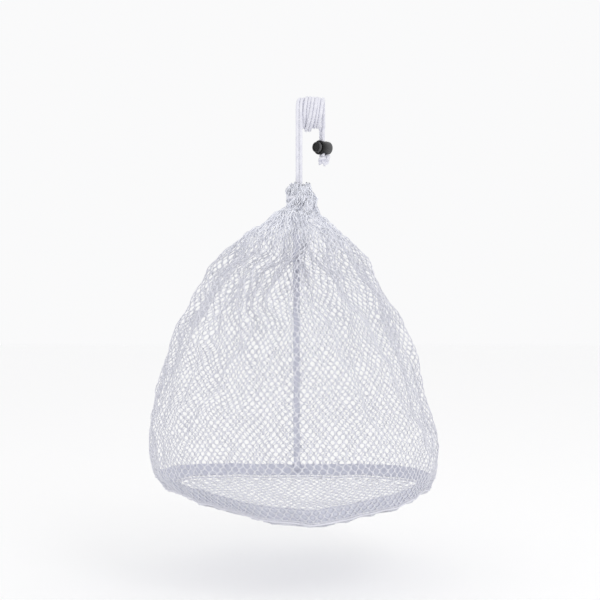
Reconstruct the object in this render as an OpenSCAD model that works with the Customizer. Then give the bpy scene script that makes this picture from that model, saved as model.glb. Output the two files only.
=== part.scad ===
// Mesh laundry bag, drawn shut and hung from a rail by its own drawcord.
// The origin is the centre of the rail, X runs along the rail, +Z is up, and the bag's front faces -Y.

/* [Hanging] */
// Diameter of the rail that the drawcord is wound round
rail_d = 25; // [20:1:32]
// Diameter of the braided drawcord
cord_d = 3.3; // [3:0.1:3.4]
// Turns of the doubled cord round the rail, ending at the back
wrap_turns = 3.5; // [2.5:1:4.5]
// Height of the rail's centre above the top of the neck
drop = 76; // [60:1:110]

/* [Bag] */
// Widest outer diameter of the filled-out bag
bag_d = 300; // [240:5:360]
// Height of the wall net, from its collar on the neck to its lower edge
wall_h = 295.5; // [240:0.5:340]
// Thickness of the net in this plain form
net_t = 1.2; // [0.8:0.1:2]
// Diameter of the round base at its seam
base_d = 260; // [200:5:280]
// Sag of the round base below the seam
base_sag = 27; // [10:1:45]
// Height of the doubled band round the bottom seam
band_h = 11; // [8:0.5:14]
// Width of the seam allowance up the back
seam_w = 7; // [4:0.5:12]

/* [Neck] */
// Outer diameter of the gathered casing at the mouth
neck_d = 34; // [33:1:42]
// Height of the casing
casing_h = 30; // [28:1:45]
// Thickness of each of the casing's walls
casing_t = 1; // [0.6:0.1:1]

/* [Cord lock] */
// Outer diameter of the barrel
barrel_d = 15; // [14.6:0.1:17]
// Length of the barrel
barrel_len = 15.4; // [15:0.1:18]
// How far the button stands out of the barrel
button_out = 4.4; // [3.6:0.1:6]
// Travel of the button
button_travel = 3; // [2:0.1:3]
// Turn of the barrel about the hanging cord, in degrees
lock_turn = 42; // [0:1:80]

/* [Hidden] */
$fn = 96;

net_colour = [0.93, 0.93, 0.96];
tape_colour = [0.96, 0.96, 0.98];
cord_colour = [0.90, 0.90, 0.94];
thread_colour = [0.98, 0.98, 1.0];
lock_colour = [0.08, 0.08, 0.08];
steel_colour = [0.7, 0.7, 0.72];

gap = 0.05;                              // between pieces that are sewn face to face
cord_r = cord_d / 2;
strand = cord_r + 0.075;                 // half the distance between the two strands
wrap_r = rail_d / 2 + cord_r + 0.1;      // centreline of the cord on the rail
pitch = 4 * strand;                      // the two strands lie side by side on each turn
stub = 12;                               // what leaves the coil straight down, front and back
swing_gap = 1.5;                         // clear space at the swing, under the coil's front stub
hang_y = -wrap_r;                        // the cord leaves the front of the rail and hangs plumb

// ---- neck ----
neck_r = neck_d / 2;
neck_top = -drop;
neck_low = neck_top - casing_h;
channel_w = neck_r - 3 * casing_t - 9;   // room for the cord between the casing's walls
mouth_r = neck_r - 2 * casing_t - channel_w;
channel_r = neck_r - casing_t - channel_w / 2;
cord_z = neck_top - 14;                  // height of the cord in its channel
tilt_z = neck_top - 8;                   // height of the tilt between the cord and the bag

// ---- bag ----
bag_r = bag_d / 2;
wall_top = neck_low + 7;                 // the net's collar laps the casing
wall_low = wall_top - wall_h;
band_top = wall_low + band_h;
base_r = base_d / 2;
tape_t = 1;
thread_r = 0.3;

// Outline of the filled-out net as fractions of its widest radius and of its height above the band
wall_shape = [[0.25, 0.036], [0.44, 0.118], [0.653, 0.269], [0.793, 0.431], [0.907, 0.6],
    [0.98, 0.754], [1.0, 0.862], [0.968, 0.966], [0.94, 1.0]];
collar_r = neck_r + gap + net_t;
shoulder_z = wall_top - 6;
shoulder_h = shoulder_z - band_top;
wall_knots = concat([[collar_r, wall_top], [collar_r, shoulder_z]],
    [for (p = wall_shape) [p[0] * bag_r, shoulder_z - p[1] * shoulder_h]], [[base_r, wall_low]]);
// The doubled band slopes in from the wall to the base
band_line = [wall_knots[len(wall_knots) - 2], wall_knots[len(wall_knots) - 1]];

// A point of the smooth curve through four neighbouring knots
function smooth(a, b, c, d, t) =
    0.5 * (2 * b + (c - a) * t + (2 * a - 5 * b + 4 * c - d) * t * t
        + (3 * b - a - 3 * c + d) * t * t * t);
function unit(v) = v / norm(v);
// Every knot from the third on is joined to the next by three short steps
steps = 3;
last = len(wall_knots) - 1;
wall_line = concat([wall_knots[0]],
    [for (i = [1 : last - 2], s = [0 : steps - 1])
        smooth(wall_knots[i - 1], wall_knots[i], wall_knots[i + 1], wall_knots[i + 2], s / steps)],
    [wall_knots[last - 1], wall_knots[last]]);
// The same line moved inwards along its normals
function inward(line, i, d) =
    let (a = line[max(i - 1, 0)], b = line[min(i + 1, len(line) - 1)], u = unit(b - a))
    line[i] + d * [u[1], -u[0]];
function shifted(line, d) = [for (i = [0 : len(line) - 1]) inward(line, i, d)];
function reversed(line) = [for (i = [len(line) - 1 : -1 : 0]) line[i]];
function strip(line, near, far) = concat(shifted(line, near), reversed(shifted(line, far)));
function along_band(shares) = [for (t = shares) band_line[0] * (1 - t) + band_line[1] * t];

// ---- cord routes ----
// Left strand of the drop, from the swing down to the mouth; the right strand mirrors it
drop_route = [for (i = [0 : 8]) let (top = -stub - swing_gap) [strand, 0, top + (tilt_z - top) * i / 8]];
// From the mouth back into the channel, relative to the neck's axis and the cord's height in it
dive_route = [[1.7, 0, 5], [1.7, 0.5, 2.5], [1.7, 2, 0.7], [1.7, 4.4, 0],
    [2.1, 7.2, 0], [3.5, 9.5, 0], [6.2, 10.8, 0]];
ring_start = 46;
ring_route = [for (a = [ring_start : -22.67 : -228]) [channel_r * cos(a), channel_r * sin(a), 0]];
function mirrored(route) = [for (p = route) [-p[0], p[1], p[2]]];
function moved(route, by) = [for (p = route) p + by];
casing_route = moved(concat(dive_route, ring_route, reversed(mirrored(dive_route))), [0, hang_y, cord_z]);

// ---- tail, lock and knot ----
tail_x = pitch * wrap_turns;
lock_z = -34.2;
barrel_r = barrel_d / 2;
slot_near = -cord_r - 0.15;              // edge of the barrel's slot on the button's side
slot_far = slot_near + cord_d + 0.3 + button_travel;
slot_half = strand + cord_r + 0.3;
mouth_x = slot_near - button_travel - 0.4;
bore_r = 5.4;
plunger_r = 5.3;
end_wall = 1.8;
floor_x = mouth_x + barrel_len - end_wall;
plunger_end = floor_x - button_travel - 0.4;
pocket_x = slot_near + cord_d + 0.3 + 0.8;
pocket_r = 3.6;
lug_w = 2;
spring_r = 2.9;
wire_r = 0.25;
spring_turns = 3.5;
knot_top = lock_z - barrel_r - 1.4;
knot_r = 5.6;
knot_pos = [tail_x + 1.2, -hang_y, knot_top - knot_r];

// The strands turn side by side into the lock's slot just under the rail
function tail_point(side, turn, z) = [tail_x + side * strand * cos(turn), side * strand * sin(turn), z];
tail_turns = [[0, -stub], [-12, -13.5], [-30, -15.2], [-45, -17], [lock_turn - 90, -19]];
function tail_route(side) = moved(concat(
    [for (p = tail_turns) tail_point(side, p[0], p[1])],
    [for (z = [-26, -34, -42, knot_top - 1.2]) tail_point(side, lock_turn - 90, z)]), [0, -hang_y, 0]);
end_route_a = [[-2.4, 0, -3.6], [-3.4, -1, -5.6], [-4, -1.5, -7.6]];
end_route_b = [[0.6, 0, -4], [0.8, -1, -6.2], [1, -1.5, -8.6]];

// ---- swept tubes ----
function heading(route, i) =
    unit(route[min(i + 1, len(route) - 1)] - route[max(i - 1, 0)]);
// Each ring's first axis is the last one's, carried along the route
function carried(route, i, u) =
    i >= len(route) ? [] :
    let (t = heading(route, i), v = unit(u - (u * t) * t))
    concat([v], carried(route, i + 1, v));
function rings(route, r, sides, u0) =
    let (axes = carried(route, 0, u0))
    [for (i = [0 : len(route) - 1]) let (t = heading(route, i), u = axes[i], v = cross(t, u))
        for (k = [0 : sides - 1]) route[i] + r * (cos(360 * k / sides) * u + sin(360 * k / sides) * v)];
module tube(route, r, sides = 8, u0 = [1, 0, 0]) {
    n = len(route);
    walls = [for (i = [0 : n - 2], k = [0 : sides - 1]) let (j = (k + 1) % sides)
        [i * sides + k, (i + 1) * sides + k, (i + 1) * sides + j, i * sides + j]];
    near_cap = [[for (k = [0 : sides - 1]) k]];
    far_cap = [[for (k = [sides - 1 : -1 : 0]) (n - 1) * sides + k]];
    polyhedron(rings(route, r, sides, u0), concat(walls, near_cap, far_cap));
}

// ---- bag ----
module at_bag() {
    translate([0, hang_y, 0]) children();
}

module body_net() {
    color(net_colour) at_bag() rotate_extrude() polygon(strip(wall_line, 0, net_t));
}

// The wall net is one panel, closed up the back by one seam whose allowance lies inside
module back_seam() {
    turn = seam_w / base_r * 90 / PI;
    seam_line = [for (p = wall_line) if (p[1] < shoulder_z && p[1] > band_top) p];
    color(net_colour) at_bag() rotate([0, 0, 90 - turn])
        rotate_extrude(angle = 2 * turn) polygon(strip(seam_line, net_t + gap, net_t + gap + 1));
}

// A shallow bowl: the round base panel, hanging from the bottom seam
module base_net() {
    bowl_r = (base_r * base_r + base_sag * base_sag) / (2 * base_sag);
    reach = asin(base_r / bowl_r);
    bowl = [for (i = [0 : 10]) let (a = reach * i / 10) [bowl_r * sin(a), -bowl_r * cos(a)]];
    profile = concat(bowl, [for (p = reversed(bowl)) p + [0, net_t]]);
    color(net_colour) at_bag() translate([0, 0, wall_low - gap - net_t + bowl_r * cos(reach)])
        rotate_extrude() polygon(profile);
}

module base_tape() {
    color(tape_colour) at_bag() rotate_extrude()
        polygon(strip(along_band([0.04, 0.96]), net_t + gap, net_t + gap + tape_t));
}

// A row of stitching, lying just outside the point [radius, height]
module thread_ring(p) {
    rotate_extrude() translate([p[0] + 1.5 * thread_r, p[1]]) circle(r = thread_r, $fn = 16);
}

module base_stitching() {
    color(thread_colour) at_bag() for (p = along_band([0.15, 0.85])) thread_ring(p);
}

// The casing is the net's top edge folded into a closed channel, open only where the cord comes out
module mouth_casing() {
    color(net_colour) at_bag() difference() {
        rotate_extrude() difference() {
            translate([mouth_r, neck_low]) square([neck_r - mouth_r, casing_h]);
            translate([mouth_r + casing_t, neck_low + casing_t])
                square([channel_w, casing_h - 2 * casing_t]);
        }
        translate([-9.5, 0, cord_z - cord_r - 0.6])
            cube([19, mouth_r + casing_t + 0.4, cord_d + 1.2]);
    }
}

module casing_stitching() {
    color(thread_colour) at_bag() thread_ring([collar_r, wall_top - 3]);
}

// ---- cord ----
module casing_cord() {
    color(cord_colour) tube(casing_route, cord_r);
}

module cord_drop_a() {
    color(cord_colour) at_bag() tube(mirrored(drop_route), cord_r);
}

module cord_drop_b() {
    color(cord_colour) at_bag() tube(drop_route, cord_r);
}

// The doubled cord's turns round the rail, as the sleeve that they fill, with where they leave it
module rail_coil() {
    coil_near = -strand - cord_r;
    color(cord_colour) difference() {
        union() {
            translate([coil_near, 0, 0]) rotate([0, 90, 0])
                cylinder(r = wrap_r + cord_r, h = tail_x - 2 * coil_near);
            for (x = [-strand, strand]) {
                translate([x, hang_y, -stub]) cylinder(r = cord_r, h = stub);
                translate([tail_x + x, -hang_y, -stub]) cylinder(r = cord_r, h = stub);
            }
        }
        translate([coil_near - 1, 0, 0]) rotate([0, 90, 0])
            cylinder(r = wrap_r - cord_r, h = tail_x - 2 * coil_near + 2);
    }
}

module cord_tail_a() {
    color(cord_colour) tube(tail_route(-1), cord_r);
}

module cord_tail_b() {
    color(cord_colour) tube(tail_route(1), cord_r);
}

module end_knot() {
    color(cord_colour) translate(knot_pos) hull() {
        for (p = [[-1.2, 0, 1.6], [1.4, 0.6, 1], [0.8, -0.8, -1.2], [-1.6, 0.4, -1.8]])
            translate(p) sphere(r = knot_r - 1.6, $fn = 32);
    }
}

module cord_ends() {
    color(cord_colour) {
        tube(moved(end_route_a, knot_pos), cord_r);
        tube(moved(end_route_b, knot_pos), cord_r);
    }
}

// ---- cord lock ----
module at_lock() {
    translate([tail_x, -hang_y, lock_z]) rotate([0, 0, lock_turn]) children();
}

// Turns a profile drawn as [distance along the barrel, radius] about the barrel's axis
module turned(profile) {
    rotate([0, 90, 0]) rotate_extrude() polygon([for (p = profile) [p[1], p[0]]]);
}

// Round corner of a profile, from angle a to angle b about its centre
function corner(x, r, radius, a, b) =
    [for (i = [0 : 6]) let (t = a + (b - a) * i / 6) [x + radius * cos(t), r + radius * sin(t)]];

module slot(near, far) {
    translate([near, -slot_half, -barrel_r - 1]) cube([far - near, 2 * slot_half, barrel_d + 2]);
}

module barrel_shape() {
    back_x = floor_x + end_wall;
    round_r = 2.2;
    lip = 0.7;
    turned(concat([[mouth_x, bore_r], [mouth_x, barrel_r - lip]],
        corner(mouth_x + lip, barrel_r - lip, lip, 180, 90),
        corner(back_x - round_r, barrel_r - 0.5 - round_r, round_r, 90, 0),
        [[back_x, 0], [floor_x, 0], [floor_x, bore_r]]));
}

module lock_barrel() {
    color(lock_colour) at_lock() difference() {
        barrel_shape();
        slot(slot_near, slot_far);
        for (side = [-1, 1])
            translate([plunger_end - lug_w - 0.1, side * (bore_r + 0.3) - 0.7, -lug_w / 2 - 0.1])
                cube([floor_x - plunger_end + lug_w + 0.1, 1.4, lug_w + 0.2]);
    }
}

module plunger_shape() {
    face_x = mouth_x - button_out;
    edge = 0.9;
    dish_r = 3.6;
    turned(concat([[pocket_x, 0], [face_x + 0.7, 0], [face_x + 0.7, dish_r - 0.4],
            [face_x, dish_r], [face_x, plunger_r - edge]],
        corner(face_x + edge, plunger_r - edge, edge, 180, 90),
        [[plunger_end, plunger_r], [plunger_end, pocket_r], [pocket_x, pocket_r]]));
}

module lock_plunger() {
    color(lock_colour) at_lock() {
        difference() {
            plunger_shape();
            slot(slot_near - button_travel, slot_near + cord_d + 0.3);
        }
        for (side = [-1, 1])
            translate([plunger_end - lug_w, side * (plunger_r + 0.1) - 0.5, -lug_w / 2])
                cube([lug_w, 1, lug_w]);
    }
}

module lock_spring() {
    near = pocket_x + wire_r + 0.05;
    far = floor_x - wire_r - 0.05;
    points = 12 * spring_turns;
    coil = [for (i = [0 : points]) let (a = 360 * spring_turns * i / points)
        [near + (far - near) * i / points, spring_r * cos(a), spring_r * sin(a)]];
    color(steel_colour) at_lock() tube(coil, wire_r, 6);
}

body_net();
back_seam();
base_net();
base_tape();
base_stitching();
mouth_casing();
casing_stitching();
casing_cord();
cord_drop_a();
cord_drop_b();
rail_coil();
cord_tail_a();
cord_tail_b();
end_knot();
cord_ends();
lock_barrel();
lock_plunger();
lock_spring();
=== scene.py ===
import math

import bpy
import numpy as np
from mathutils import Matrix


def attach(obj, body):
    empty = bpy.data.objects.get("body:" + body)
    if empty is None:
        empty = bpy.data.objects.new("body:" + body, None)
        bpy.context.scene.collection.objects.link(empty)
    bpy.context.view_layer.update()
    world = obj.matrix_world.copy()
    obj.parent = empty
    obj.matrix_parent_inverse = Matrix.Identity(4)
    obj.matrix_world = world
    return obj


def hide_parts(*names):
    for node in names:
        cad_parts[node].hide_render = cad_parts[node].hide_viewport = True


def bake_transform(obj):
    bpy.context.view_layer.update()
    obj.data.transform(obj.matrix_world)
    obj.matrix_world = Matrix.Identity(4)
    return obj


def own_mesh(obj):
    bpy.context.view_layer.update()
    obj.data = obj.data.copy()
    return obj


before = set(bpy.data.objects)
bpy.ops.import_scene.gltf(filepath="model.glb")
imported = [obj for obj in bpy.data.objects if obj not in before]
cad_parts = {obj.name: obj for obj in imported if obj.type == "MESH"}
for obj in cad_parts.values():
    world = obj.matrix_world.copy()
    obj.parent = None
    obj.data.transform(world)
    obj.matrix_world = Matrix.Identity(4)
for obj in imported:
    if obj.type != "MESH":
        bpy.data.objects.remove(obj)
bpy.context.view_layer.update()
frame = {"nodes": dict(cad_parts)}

MM = 0.001
TINY = 1e-9              # keeps a division by a length of nothing safe
HANG_Y = -14.25          # mm: the bag's axis, plumb under the front of the rail
rng = np.random.default_rng(11)


# ---------------- mesh helpers
def mesh_object(name, points, faces, material):
    """A smooth mesh from points in mm and a list of arrays of faces, each with its own number of corners."""
    mesh = bpy.data.meshes.new(name)
    faces = [np.asarray(f, np.int32) for f in faces if len(f)]
    corners = np.concatenate([f.ravel() for f in faces])
    sizes = np.concatenate([np.full(len(f), f.shape[1]) for f in faces])
    starts = np.concatenate([[0], np.cumsum(sizes)[:-1]])
    mesh.vertices.add(len(points))
    mesh.vertices.foreach_set("co", (np.asarray(points) * MM).astype(np.float32).ravel())
    mesh.loops.add(len(corners))
    mesh.loops.foreach_set("vertex_index", corners)
    mesh.polygons.add(len(sizes))
    mesh.polygons.foreach_set("loop_start", starts.astype(np.int32))
    mesh.polygons.foreach_set("use_smooth", np.full(len(sizes), True))
    mesh.update(calc_edges=True)
    mesh.validate()
    mesh.materials.append(material)
    made = bpy.data.objects.new(name, mesh)
    bpy.context.scene.collection.objects.link(made)
    return made


def unit(v):
    return v / np.maximum(np.linalg.norm(v, axis=-1, keepdims=True), TINY)


def smooth_line(knots, steps):
    """A smooth curve through the knots, with so many steps between two of them."""
    knots = np.asarray(knots, float)
    k = np.vstack([2 * knots[0] - knots[1], knots, 2 * knots[-1] - knots[-2]])
    t = (np.arange(steps) / steps)[:, None]
    parts = []
    for i in range(len(knots) - 1):
        a, b, c, d = k[i:i + 4]
        parts.append(0.5 * (2 * b + (c - a) * t + (2 * a - 5 * b + 4 * c - d) * t**2
                            + (3 * b - a - 3 * c + d) * t**3))
    parts.append(knots[-1:])
    return np.vstack(parts)


def lengths_along(line):
    return np.concatenate([[0], np.cumsum(np.linalg.norm(np.diff(line, axis=0), axis=1))])


def even_line(line, step):
    """The line at even distances of about step."""
    run = lengths_along(line)
    at = np.linspace(0, run[-1], max(2, int(round(run[-1] / step)) + 1))
    return np.stack([np.interp(at, run, line[:, i]) for i in range(line.shape[1])], 1)


def carried_axes(line, first):
    """Two axes across the line at each point, carried along it without twist."""
    tangent = unit(np.gradient(line, axis=0))
    across = np.zeros_like(line)
    u = np.asarray(first, float)
    for i, t in enumerate(tangent):
        u = u - (u @ t) * t
        u = u / np.linalg.norm(u)
        across[i] = u
    return across, np.cross(tangent, across)


def tube_parts(line, first, sides, r):
    """Points and faces of a tube round a line. r is how far each point, or each ring, stands off it."""
    across, up = carried_axes(line, first)
    around = np.arange(sides) * 2 * math.pi / sides
    c, s = np.cos(around)[None, :, None], np.sin(around)[None, :, None]
    points = line[:, None, :] + r[..., None] * (c * across[:, None, :] + s * up[:, None, :])
    ring = np.arange(sides)
    rows = np.arange(len(line) - 1)[:, None] * sides
    quads = np.stack([rows + ring, rows + (ring + 1) % sides,
                      rows + sides + (ring + 1) % sides, rows + sides + ring], -1)
    return points.reshape(-1, 3), quads.reshape(-1, 4)


def belongs(piece, body, slot, *nodes):
    """Says which body a piece rides on and which CAD nodes it stands for. slot, the finish, is not used."""
    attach(piece, body)
    if nodes:
        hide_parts(*nodes)


# ---------------- materials
TAIL_X = 24.15           # mm: where the doubled cord comes off the rail
LOCK_TURN = 42           # degrees between the rail and the lock's button
LOCK_Z = -34.2
LOCK_ENDS = (-10, 11)    # mm: the lock's two ends from the middle of the cords
YARN = (0.77, 0.775, 0.84)
# painted light: the net's colour up the gathered neck, lighter and bluer than the yarn, lifting the shade in
# its folds
YARN_NECK_PAINTED_LIGHT = (0.915, 0.93, 1.0)
NECK_PAINTED_LIGHT_Z = (-0.15, -0.105)      # m: the net's colour changes between these heights
CORD_TINTS = (0.72, 0.72, 0.80), (0.82, 0.82, 0.88)
# painted shade: the white tape's two tints are darker and bluer than it is, for the shade behind the net's
# strands; between them the tone varies at random
TAPE_TINTS_WITH_PAINTED_SHADE = (0.60, 0.61, 0.71), (0.71, 0.72, 0.80)
THREAD_COLOUR = (0.76, 0.76, 0.83)
STEEL_COLOUR = (0.55, 0.56, 0.58)
BLACK = (0.02, 0.02, 0.02)
# The sockets of a colour Mix node, several of which have the same name
MIX_FACTOR, MIX_FIRST, MIX_SECOND, MIX_RESULT = 0, 6, 7, 2


def new_material(name, colour, roughness, **sockets):
    material = bpy.data.materials.new(name)
    material.use_nodes = True
    shader = material.node_tree.nodes["Principled BSDF"]
    shader.inputs["Base Color"].default_value = (*colour, 1)
    shader.inputs["Roughness"].default_value = roughness
    for socket, value in sockets.items():
        shader.inputs[socket.replace("_", " ")].default_value = value
    return material, material.node_tree, shader


def add_bump(tree, shader, height, strength, distance):
    bump = tree.nodes.new("ShaderNodeBump")
    bump.inputs["Strength"].default_value = strength
    bump.inputs["Distance"].default_value = distance
    tree.links.new(height, bump.inputs["Height"])
    tree.links.new(bump.outputs["Normal"], shader.inputs["Normal"])


def noise_node(tree, scale, detail=2.0, stretch=(1, 1, 1)):
    place = tree.nodes.new("ShaderNodeTexCoord")
    mapping = tree.nodes.new("ShaderNodeMapping")
    mapping.inputs["Scale"].default_value = stretch
    noise = tree.nodes.new("ShaderNodeTexNoise")
    noise.inputs["Scale"].default_value = scale
    noise.inputs["Detail"].default_value = detail
    tree.links.new(place.outputs["Object"], mapping.inputs["Vector"])
    tree.links.new(mapping.outputs["Vector"], noise.inputs["Vector"])
    return noise


def tinted(tree, shader, noise, low, high):
    ramp = tree.nodes.new("ShaderNodeValToRGB")
    ramp.color_ramp.elements[0].position = 0.3
    ramp.color_ramp.elements[1].position = 0.7
    ramp.color_ramp.elements[0].color = (*low, 1)
    ramp.color_ramp.elements[1].color = (*high, 1)
    tree.links.new(noise.outputs["Fac"], ramp.inputs["Fac"])
    tree.links.new(ramp.outputs["Color"], shader.inputs["Base Color"])


def net_material():
    """White yarn, painted lighter and bluer towards the gathered top: painted light that lifts the shade in
    the folds there.
    """
    material, tree, shader = new_material("net_yarn", YARN, 0.5, Sheen_Weight=0.3)
    place = tree.nodes.new("ShaderNodeTexCoord")
    split = tree.nodes.new("ShaderNodeSeparateXYZ")
    reach = tree.nodes.new("ShaderNodeMapRange")
    reach.inputs["From Min"].default_value = NECK_PAINTED_LIGHT_Z[0]
    reach.inputs["From Max"].default_value = NECK_PAINTED_LIGHT_Z[1]
    # painted light: a ramp from the yarn's colour to the lighter, bluer painted-light colour up the neck
    ramp = tree.nodes.new("ShaderNodeValToRGB")
    ramp.color_ramp.elements[0].color = (*YARN, 1)
    ramp.color_ramp.elements[1].color = (*YARN_NECK_PAINTED_LIGHT, 1)
    tree.links.new(place.outputs["Object"], split.inputs["Vector"])
    tree.links.new(split.outputs["Z"], reach.inputs["Value"])
    tree.links.new(reach.outputs["Result"], ramp.inputs["Fac"])
    tree.links.new(ramp.outputs["Color"], shader.inputs["Base Color"])
    fibres = noise_node(tree, 2600, 3, (1, 1, 0.45))
    add_bump(tree, shader, fibres.outputs["Fac"], 0.35, 0.0002)
    return material


def cord_material():
    material, tree, shader = new_material("cord_braid", CORD_TINTS[1], 0.5, Sheen_Weight=0.2)
    fibres = noise_node(tree, 3200, 3)
    tinted(tree, shader, noise_node(tree, 240), *CORD_TINTS)
    add_bump(tree, shader, fibres.outputs["Fac"], 0.3, 0.00015)
    return material


def tape_material():
    material, tree, shader = new_material("tape_weave", TAPE_TINTS_WITH_PAINTED_SHADE[1], 0.7, Sheen_Weight=0.2)
    weave = noise_node(tree, 1500, 2, (1, 1, 3))
    # painted shade: random tone between two tints that are both painted darker than the white tape
    tinted(tree, shader, noise_node(tree, 500, 3), *TAPE_TINTS_WITH_PAINTED_SHADE)
    add_bump(tree, shader, weave.outputs["Fac"], 0.5, 0.0003)
    return material


def thread_material():
    material, tree, shader = new_material("thread", THREAD_COLOUR, 0.45)
    add_bump(tree, shader, noise_node(tree, 4000).outputs["Fac"], 0.2, 0.0001)
    return material


def plastic_material(name, painted_light_stops, roughness):
    """Black plastic with painted light: its stops are painted greys at places along the lock, in mm from the
    middle of the cords, for the light, shade and highlights on it.
    """
    material, tree, shader = new_material(name, BLACK, roughness, Specular_IOR_Level=0.25)
    place = tree.nodes.new("ShaderNodeTexCoord")
    mapping = tree.nodes.new("ShaderNodeMapping")
    mapping.vector_type = "TEXTURE"
    mapping.inputs["Location"].default_value = (TAIL_X * MM, -HANG_Y * MM, 0)
    mapping.inputs["Rotation"].default_value = (0, 0, math.radians(LOCK_TURN))
    split = tree.nodes.new("ShaderNodeSeparateXYZ")
    reach = tree.nodes.new("ShaderNodeMapRange")
    reach.inputs["From Min"].default_value = LOCK_ENDS[0] * MM
    reach.inputs["From Max"].default_value = LOCK_ENDS[1] * MM
    ramp = tree.nodes.new("ShaderNodeValToRGB")
    elements = ramp.color_ramp.elements
    for k, (along, grey) in enumerate(painted_light_stops):
        stop = elements[k] if k < 2 else elements.new(1)
        stop.position = (along - LOCK_ENDS[0]) / (LOCK_ENDS[1] - LOCK_ENDS[0])
        stop.color = (grey, grey, 1.03 * grey, 1)
    speckle = tree.nodes.new("ShaderNodeMix")
    speckle.data_type = "RGBA"
    speckle.blend_type = "MULTIPLY"
    speckle.inputs[MIX_FACTOR].default_value = 0.5
    tree.links.new(place.outputs["Object"], mapping.inputs["Vector"])
    tree.links.new(mapping.outputs["Vector"], split.inputs["Vector"])
    tree.links.new(split.outputs["X"], reach.inputs["Value"])
    tree.links.new(reach.outputs["Result"], ramp.inputs["Fac"])
    tree.links.new(ramp.outputs["Color"], speckle.inputs[MIX_FIRST])
    tree.links.new(noise_node(tree, 900, 4).outputs["Fac"], speckle.inputs[MIX_SECOND])
    tree.links.new(speckle.outputs[MIX_RESULT], shader.inputs["Base Color"])
    add_bump(tree, shader, noise_node(tree, 2500, 3).outputs["Fac"], 0.12, 0.0001)
    return material


def steel_material():
    material, tree, shader = new_material("spring_steel", STEEL_COLOUR, 0.25, Metallic=1.0)
    add_bump(tree, shader, noise_node(tree, 1500).outputs["Fac"], 0.1, 0.00005)
    return material


NET = net_material()
CORD = cord_material()
TAPE = tape_material()
THREAD = thread_material()
# painted light: the black barrel is painted near black at its lip for the shade there, and grey rising
# towards its far end for the light and highlight there
BARREL = plastic_material("barrel_plastic", [(-5.2, 0.004), (10, 0.17), (-3.4, 0.008), (-1.6, 0.075)],
                          roughness=0.36)
# painted highlight: the black button's face stays near black, and its side is painted grey for the lit arc
# round it
BUTTON = plastic_material("button_plastic", [(-9.4, 0.014), (-3, 0.4), (-8.9, 0.006), (-8.5, 0.4)],
                          roughness=0.3)
STEEL = steel_material()


# ---------------- camera
CAMERA_AT = (0.001, -1.2, -0.1945)   # m: level with the middle of the photograph, looking along +Y
CAMERA_LENS = 69.2                   # mm, on a sensor 36 mm wide


def make_camera():
    data = bpy.data.cameras.new("camera")
    data.sensor_width = 36
    data.lens = CAMERA_LENS
    data.clip_start = 0.05
    camera = bpy.data.objects.new("camera", data)
    camera.location = CAMERA_AT
    camera.rotation_euler = (math.pi / 2, 0, 0)
    bpy.context.scene.collection.objects.link(camera)
    bpy.context.scene.camera = camera


make_camera()


# ---------------- the drawcord
CORD_R = 1.75
STRAND = 1.80            # half the distance between the two strands
WRAP_R = 14.25           # from the rail's axis to the middle of a cord that lies on the rail
WRAP_TURN = 1260         # degrees, three and a half turns
CORD_LOW = -84.5         # where the strands come out of the casing
KNOT_TOP = -43.1
BRAID_COUNT = 6
BRAID_PITCH = 2.2
BRAID_DEPTH = 0.26
BRAID_FLOOR = 0.75       # how much of the depth lies under the cord's radius
BRAID_SIDES = 30
BRAID_STEP = 0.3
END_RINGS = 8            # rings over which an end of a cord is rounded

# Where the middle of the doubled cord lies on the rail: turn in degrees, place along the rail, extra radius
WRAP_LINE = np.array([
    [0, 0, 0], [30, 0.3, 0], [60, 1.5, 0], [90, 3.4, 0.1], [180, 4.8, 0.1], [270, 6.8, 0.4],
    [360, 7.8, 0.2], [450, 10.2, 1.5], [540, 10.0, 2.4], [630, 9.2, 3.7], [720, 14.4, 2.3], [810, 17.0, 0.8],
    [900, 16.9, 0.3], [990, 17.6, 0.3], [1080, 20.9, 0.2], [1170, 23.4, 0.2], [1260, 24.15, 0]])
# How the two strands of the tail turn round each other, in degrees, and how high that is
TAIL_TURNS = [[0, -12], [-12, -13.5], [-30, -15.2], [-45, -17], [-48, -19], [-48, -26], [-48, -34],
              [-48, KNOT_TOP - 0.6]]


def strand_path(side):
    """The middle of one strand: up from the casing, round the rail, and down to the knot."""
    x = side * STRAND
    rise = [[x, HANG_Y, z] for z in np.linspace(CORD_LOW, -4, 30)]
    table = smooth_line(WRAP_LINE, 8)
    turns = np.radians(np.linspace(0, WRAP_TURN, 316))
    along = np.interp(np.degrees(turns), table[:, 0], table[:, 1])
    radius = WRAP_R + np.interp(np.degrees(turns), table[:, 0], table[:, 2])
    wraps = np.stack([along + x, -radius * np.cos(turns), radius * np.sin(turns)], 1)
    tail = [[TAIL_X + x * math.cos(math.radians(a)), -HANG_Y + x * math.sin(math.radians(a)), z]
            for a, z in TAIL_TURNS]
    tail = smooth_line(np.vstack([[[TAIL_X + x, -HANG_Y, -4], [TAIL_X + x, -HANG_Y, -8]], tail]), 6)
    return even_line(np.vstack([rise, wraps, tail]), BRAID_STEP)


def braid_relief(around, along):
    """Height of a braid's surface: two families of plaits that pass over and under each other."""
    u = BRAID_COUNT * around / (2 * math.pi) + along / BRAID_PITCH
    v = BRAID_COUNT * around / (2 * math.pi) - along / BRAID_PITCH
    round_u = np.sqrt(np.maximum(0, 1 - (2 * (u % 1) - 1)**2))
    round_v = np.sqrt(np.maximum(0, 1 - (2 * (v % 1) - 1)**2))
    first = round_u * 0.5 + 0.42 * np.cos(math.pi * (v - 0.5 + np.floor(u)))
    other = round_v * 0.5 - 0.42 * np.cos(math.pi * (u - 0.5 + np.floor(v)))
    return np.maximum(first, other)


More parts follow.
